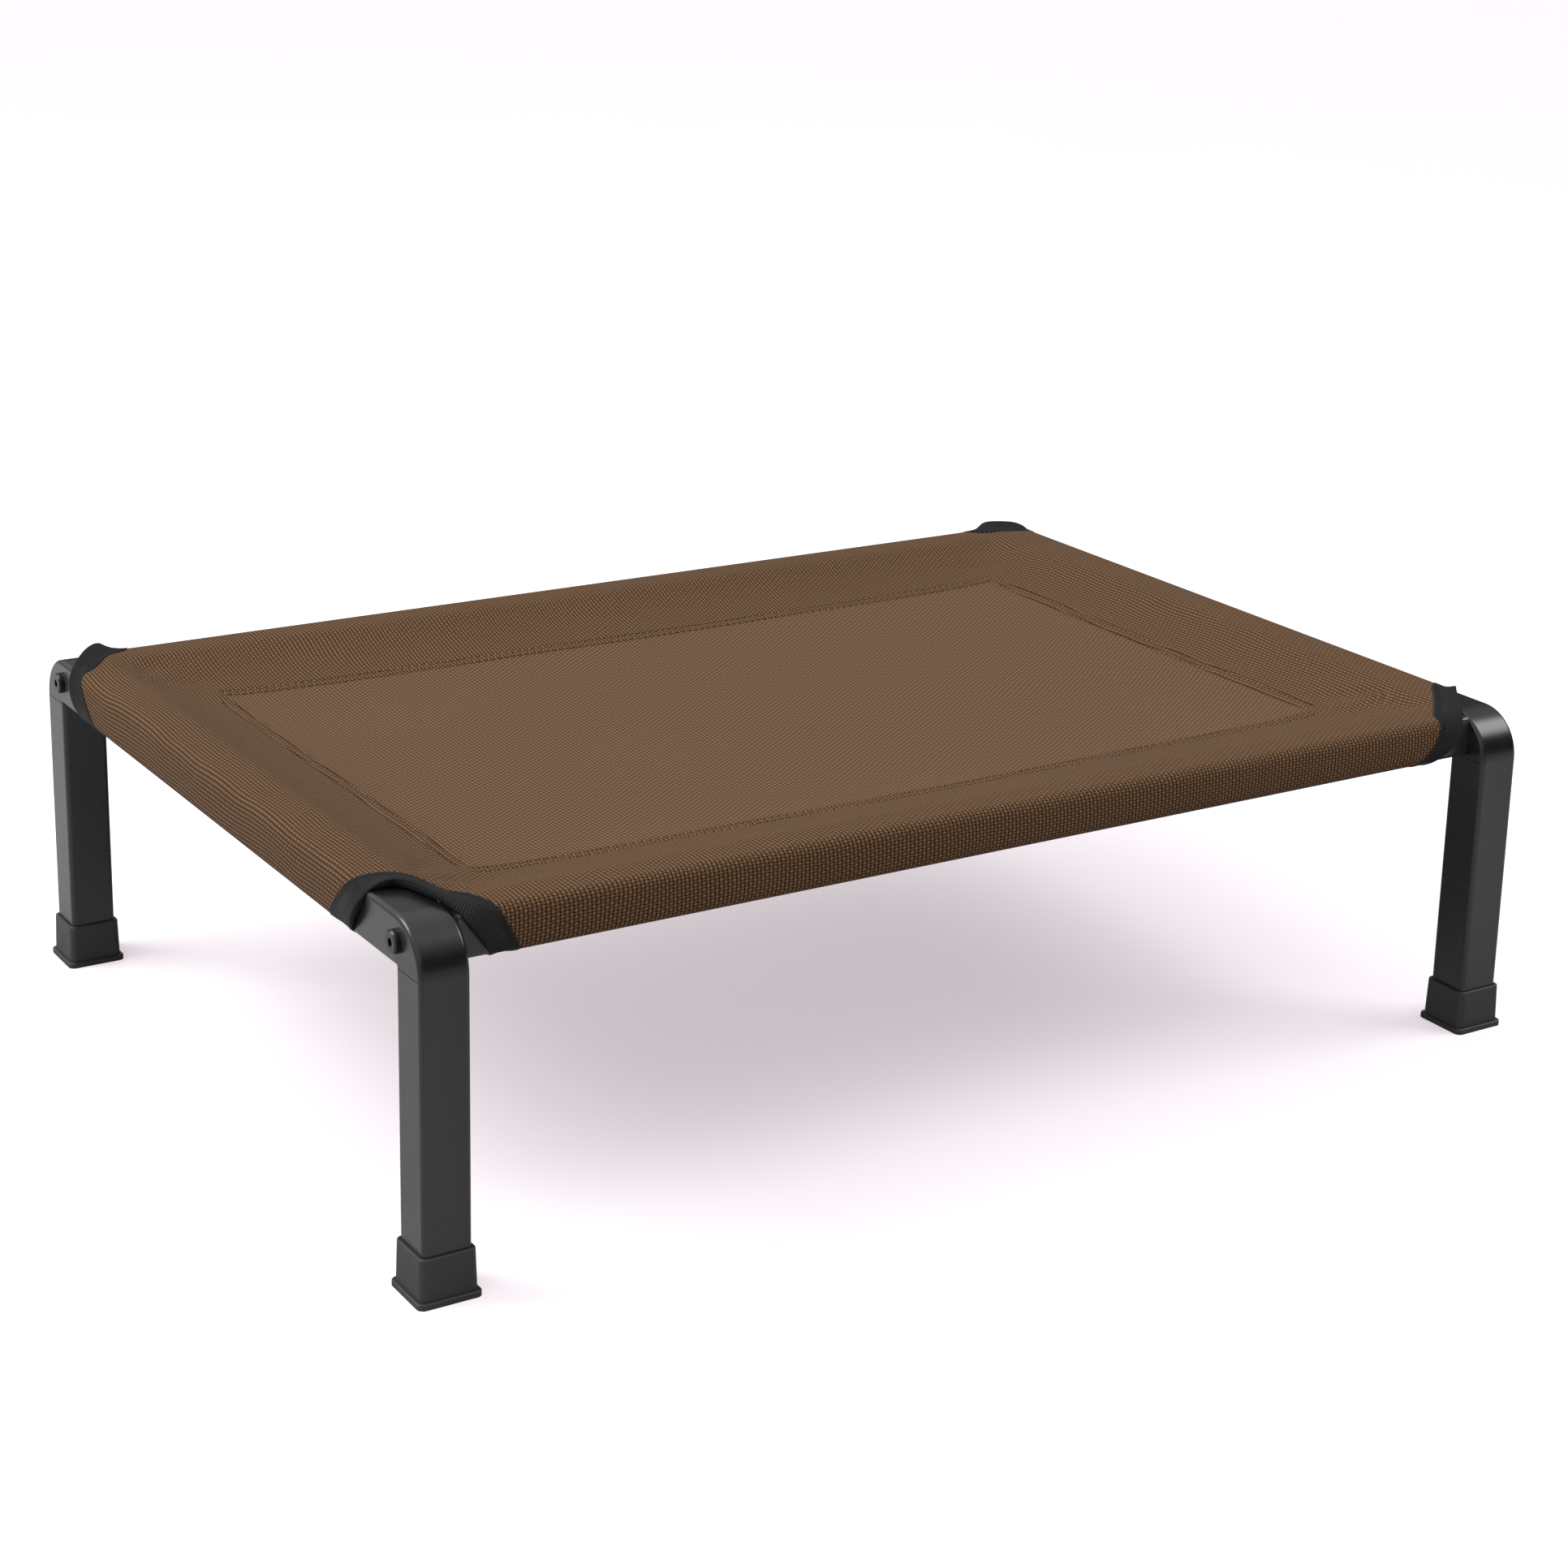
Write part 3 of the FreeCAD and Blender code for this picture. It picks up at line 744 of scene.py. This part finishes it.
def sling_material():
    """Plain-woven mesh of coated yarn, with painted shade in its holes, darker on the hems, which have two
    layers and larger holes.
    """
    shader = Shader("brown_mesh")
    u, v = shader.cloth()
    wander_u = shader.spread(shader.noise(16.0, 1.0), 0, 1, -WANDER_U, WANDER_U)
    wander_v = shader.spread(shader.noise(11.0, 1.0), 0, 1, -WANDER_V, WANDER_V)
    warp, weft = plain_weave(shader, shader.math("ADD", u, wander_u), shader.math("ADD", v, wander_v))
    height = shader.math("MAXIMUM", warp, weft)
    hem = shader.attribute("hem")

    def by_layers(on_panel, on_hem):
        """A value on the panel, of one layer, and on the hems, of two."""
        return shader.spread(hem, 0, 1, on_panel, on_hem)

    hole = shader.spread(height, by_layers(0.30, 0.38), by_layers(0.58, 0.62), 1, 0, smooth=True)
    patch = shader.noise(9.0, 3.0)
    streak = shader.noise(240.0, 2.0)
    yarn = shader.mix(patch, rgb(0.103, 0.055, 0.027), rgb(0.123, 0.067, 0.033))
    yarn = shader.mix(shader.math("MULTIPLY", streak, 0.35), yarn, rgb(0.072, 0.037, 0.018))
    # Painted light on the yarn: painted shade where a yarn passes under another, and a painted highlight
    # where it passes over.
    crossing = shader.spread(shader.math("SUBTRACT", warp, weft), -0.5, 0.6, 0, 1)
    under = shader.mix(by_layers(0.40, 0.14), yarn, rgb(0.028, 0.013, 0.006))
    over = shader.mix(by_layers(0.38, 0.26), yarn, rgb(0.205, 0.128, 0.072))
    yarn = shader.mix(crossing, under, over)
    # The holes' colour is painted shade, standing in for the shade in them and the pale floor seen through
    # them: lighter on the panel, darker on the hems, which have a second layer under them.
    painted_hole_shade = shader.mix(hem, rgb(0.030, 0.014, 0.006), rgb(0.012, 0.0055, 0.002))
    colour = shader.mix(shader.math("MULTIPLY", hole, by_layers(0.84, 0.97)), yarn, painted_hole_shade)
    fibre = shader.noise(2600.0, 2.0)
    shader.set(Base_Color=colour, Roughness=shader.spread(hole, 0, 1, 0.74, 0.95), Sheen_Weight=0.02,
               Sheen_Roughness=0.4, Specular_IOR_Level=0.07)
    relief = shader.math("ADD", height, shader.math("MULTIPLY", fibre, 0.12))
    shader.bump(relief, 0.45 * MM, 1.0)
    return shader.material


def tape_material():
    """Black herringbone tape, with painted shade in the grooves between its ribs and its crests painted
    lighter.
    """
    shader = Shader("black_tape")
    u, v = shader.cloth()
    band = shader.math("PINGPONG", v, RIB_BAND)
    slant = shader.math("ADD", u, shader.math("MULTIPLY", band, RIB_SLANT))
    rib = shader.math("ABSOLUTE", shader.math("SINE", shader.math("MULTIPLY", slant, math.pi / RIB_STEP)))
    pick = shader.math("ABSOLUTE", shader.math("SINE", shader.math("MULTIPLY", v, math.pi / PICK_STEP)))
    rib = shader.math("MULTIPLY", rib, shader.spread(pick, 0, 1, 0.55, 1))
    fibre = shader.noise(1800.0, 2.0)
    patch = shader.noise(60.0, 2.0)
    # Painted shade in the grooves between the ribs, and the ribs' crests painted lighter.
    colour = shader.mix(rib, rgb(0.0005, 0.0005, 0.0005), rgb(0.012, 0.0115, 0.012))
    colour = shader.mix(shader.math("MULTIPLY", patch, 0.3), colour, rgb(0.007, 0.007, 0.007))
    shader.set(Base_Color=colour, Roughness=0.58, Sheen_Weight=0.02, Sheen_Roughness=0.35,
               Specular_IOR_Level=0.15)
    shader.bump(shader.math("ADD", rib, shader.math("MULTIPLY", fibre, 0.10)), 0.9 * MM, 1.0)
    return shader.material


def thread_material(name, dark, light, roughness, specular):
    """Twisted thread."""
    shader = Shader(name)
    twist = shader.noise(3500.0, 1.0)
    shader.set(Base_Color=shader.mix(twist, dark, light), Roughness=roughness, Specular_IOR_Level=specular)
    shader.bump(twist, 0.1 * MM, 0.6)
    return shader.material


def coat_material():
    """Satin black powder coat: a fine orange-peel texture, with a painted highlight on its convex edges."""
    shader = Shader("black_powder_coat")
    fine = shader.noise(1500.0, 3.0)
    wide = shader.noise(120.0, 2.0)
    geometry = shader.tree.nodes.new("ShaderNodeNewGeometry")
    # Painted highlight: the coat is made lighter on convex edges, found by their pointiness.
    edge = shader.spread(geometry.outputs["Pointiness"], 0.51, 0.58, 0, 1)
    colour = shader.mix(wide, rgb(0.0035, 0.0034, 0.0038), rgb(0.0052, 0.0051, 0.0056))
    colour = shader.mix(shader.math("MULTIPLY", edge, 0.35), colour, rgb(0.040, 0.040, 0.043))
    rough = shader.math("ADD", 0.23, shader.math("MULTIPLY", wide, 0.08))
    shader.set(Base_Color=colour, Roughness=rough, Specular_IOR_Level=0.4)
    shader.bump(shader.math("ADD", fine, shader.math("MULTIPLY", wide, 0.6)), 0.03 * MM, 0.35)
    return shader.material


def rubber_material():
    """Matt moulded rubber with a slight bloom."""
    shader = Shader("black_rubber")
    grain = shader.noise(2200.0, 3.0)
    bloom = shader.noise(70.0, 3.0)
    colour = shader.mix(bloom, rgb(0.009, 0.009, 0.010), rgb(0.015, 0.015, 0.016))
    shader.set(Base_Color=colour, Roughness=shader.spread(bloom, 0.3, 0.7, 0.50, 0.64))
    shader.bump(grain, 0.05 * MM, 0.4)
    return shader.material


def bolt_material():
    """Black oxide steel, with faint turning marks."""
    shader = Shader("black_oxide")
    marks = shader.noise(900.0, 2.0)
    colour = shader.mix(marks, rgb(0.010, 0.010, 0.012), rgb(0.020, 0.020, 0.023))
    shader.set(Base_Color=colour, Metallic=0.6, Roughness=shader.spread(marks, 0.3, 0.7, 0.24, 0.36))
    shader.bump(marks, 0.02 * MM, 0.3)
    return shader.material


def zinc_material():
    """Zinc-plated steel plates inside the rails."""
    shader = Shader("zinc_plate")
    marks = shader.noise(400.0, 3.0)
    colour = shader.mix(marks, rgb(0.42, 0.42, 0.40), rgb(0.62, 0.62, 0.60))
    shader.set(Base_Color=colour, Metallic=1.0, Roughness=shader.spread(marks, 0.3, 0.7, 0.3, 0.45))
    shader.bump(marks, 0.02 * MM, 0.4)
    return shader.material


def dress(piece, material):
    """Gives a piece one material."""
    piece.data.materials.clear()
    piece.data.materials.append(material)


def dress_cad():
    """Gives the CAD nodes that are seen as they are their materials, by the end of their names."""
    coat = coat_material()
    materials = {"frame": coat, "rail": coat, "foot_cap": rubber_material(), "bolt": bolt_material(),
                 "nut_plate": zinc_material()}
    for name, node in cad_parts.items():
        for ending, material in materials.items():
            if name.endswith(ending):
                dress(node, material)


# ---------------------------------------------------------------- stage, light and camera

FLOOR_SIZE = 14.0
FLOOR_GLOW = 0.50
SKY_BRIGHT = 1.40                       # light from the sky's bright side
SKY_DIM = 0.05                          # and from the side away from it
SKY_WAY = (-0.40, 0.10, 0.90)           # towards the bright side
SKY_FULL = 0.8                          # cosine of the angle from there within which it is at its brightest
LIGHTS_AIM = (0.0, 0.0, 0.15)

LOOK_AT = Vector((0.0212, 0.0218, 0.2017))
DISTANCE = 1.7458
AZIMUTH = -32.3
ELEVATION = 16.31
ROLL = 1.33
LENS = 71.47
SHIFT_Y = -0.0963


def floor_material():
    """Pale matt floor, with a slight glow that only the camera sees, so that shadows on it stay light."""
    shader = Shader("pale_floor")
    soft = shader.noise(3.0, 2.0)
    ray = shader.tree.nodes.new("ShaderNodeLightPath")
    glow = shader.math("MULTIPLY", ray.outputs["Is Camera Ray"], FLOOR_GLOW)
    shader.set(Base_Color=shader.mix(soft, rgb(0.49, 0.48, 0.49), rgb(0.51, 0.50, 0.51)), Roughness=0.8,
               Specular_IOR_Level=0.1, Emission_Color=rgb(1.0, 0.90, 0.97), Emission_Strength=glow)
    return shader.material


def build_stage():
    """The floor and the sky."""
    bpy.ops.mesh.primitive_plane_add(size=FLOOR_SIZE)
    floor = bpy.context.object
    floor.name = "floor"
    dress(floor, floor_material())
    build_world()


def build_world():
    """A sky that the camera sees as white, and that lights the bed from above and somewhat from the left."""
    world = bpy.data.worlds.new("studio")
    bpy.context.scene.world = world
    world.use_nodes = True
    tree = world.node_tree
    background = tree.nodes["Background"]
    ray = tree.nodes.new("ShaderNodeLightPath")
    place = tree.nodes.new("ShaderNodeTexCoord")
    towards = tree.nodes.new("ShaderNodeVectorMath")
    towards.operation = "DOT_PRODUCT"
    towards.inputs[1].default_value = Vector(SKY_WAY).normalized()
    level = tree.nodes.new("ShaderNodeMapRange")
    level.interpolation_type = "SMOOTHSTEP"
    level.inputs["From Min"].default_value = 0.0
    level.inputs["From Max"].default_value = SKY_FULL
    level.inputs["To Min"].default_value = SKY_DIM
    level.inputs["To Max"].default_value = SKY_BRIGHT
    pick = tree.nodes.new("ShaderNodeMix")
    pick.inputs["B"].default_value = 1.0
    tree.links.new(place.outputs["Generated"], towards.inputs[0])
    tree.links.new(towards.outputs["Value"], level.inputs["Value"])
    tree.links.new(level.outputs["Result"], pick.inputs["A"])
    tree.links.new(ray.outputs["Is Camera Ray"], pick.inputs["Factor"])
    tree.links.new(pick.outputs["Result"], background.inputs["Strength"])
    background.inputs["Color"].default_value = rgb(1.0, 1.0, 1.0)


def area_light(name, place, size, power):
    """Square softbox at a place, turned to the bed. Its size is in metres and its power in watts."""
    light = bpy.data.lights.new(name, "AREA")
    light.size = size
    light.energy = power
    lamp = bpy.data.objects.new(name, light)
    bpy.context.scene.collection.objects.link(lamp)
    lamp.location = place
    lamp.rotation_euler = (Vector(LIGHTS_AIM) - Vector(place)).to_track_quat("-Z", "Y").to_euler()


def build_camera():
    """The camera, at the fitted angle and distance, with a slight roll."""
    azimuth, elevation, roll = (math.radians(angle) for angle in (AZIMUTH, ELEVATION, ROLL))
    back = Vector((math.sin(azimuth) * math.cos(elevation), -math.cos(azimuth) * math.cos(elevation),
                   math.sin(elevation)))
    right = (-back).cross(Vector((0, 0, 1))).normalized()
    up = right.cross(-back)
    tilted_right = right * math.cos(roll) + up * math.sin(roll)
    tilted_up = up * math.cos(roll) - right * math.sin(roll)
    data = bpy.data.cameras.new("camera")
    data.lens = LENS
    data.sensor_width = 36.0
    data.shift_y = SHIFT_Y
    camera = bpy.data.objects.new("camera", data)
    bpy.context.scene.collection.objects.link(camera)
    turn = Matrix((tilted_right, tilted_up, back)).transposed().to_4x4()
    camera.matrix_world = Matrix.Translation(LOOK_AT + back * DISTANCE) @ turn
    bpy.context.scene.camera = camera


# ---------------------------------------------------------------- the bed

build_stage()
area_light("key", place=(-1.55, 0.75, 1.75), size=1.2, power=45.0)
area_light("right", place=(1.5, -0.78, 1.68), size=1.1, power=30.0)
build_camera()
bpy.context.scene.view_settings.view_transform = "Standard"

dress_cad()

sling = build_sling()
dress(sling, sling_material())
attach(sling, "root")
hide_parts("sling_panel", "left_hem_sleeve", "right_hem_sleeve", "front_hem_sleeve",
            "back_hem_sleeve")

tape = tape_material()
for place, corner in CORNERS.items():
    binding = build_binding("tape_" + place, corner)
    dress(binding, tape)
    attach(binding, "root")
    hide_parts(place + "_binding")

stitches = build_stitches()
dark_thread = thread_material("dark_thread", rgb(0.009, 0.0045, 0.003), rgb(0.024, 0.013, 0.007), 0.8, 0.15)
dress(stitches, dark_thread)
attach(stitches, "root")
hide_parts("sling_stitching")

edging = build_tape_stitches()
black_thread = thread_material("black_thread", rgb(0.003, 0.003, 0.003), rgb(0.014, 0.013, 0.013), 0.75, 0.5)
dress(edging, black_thread)
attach(edging, "root")
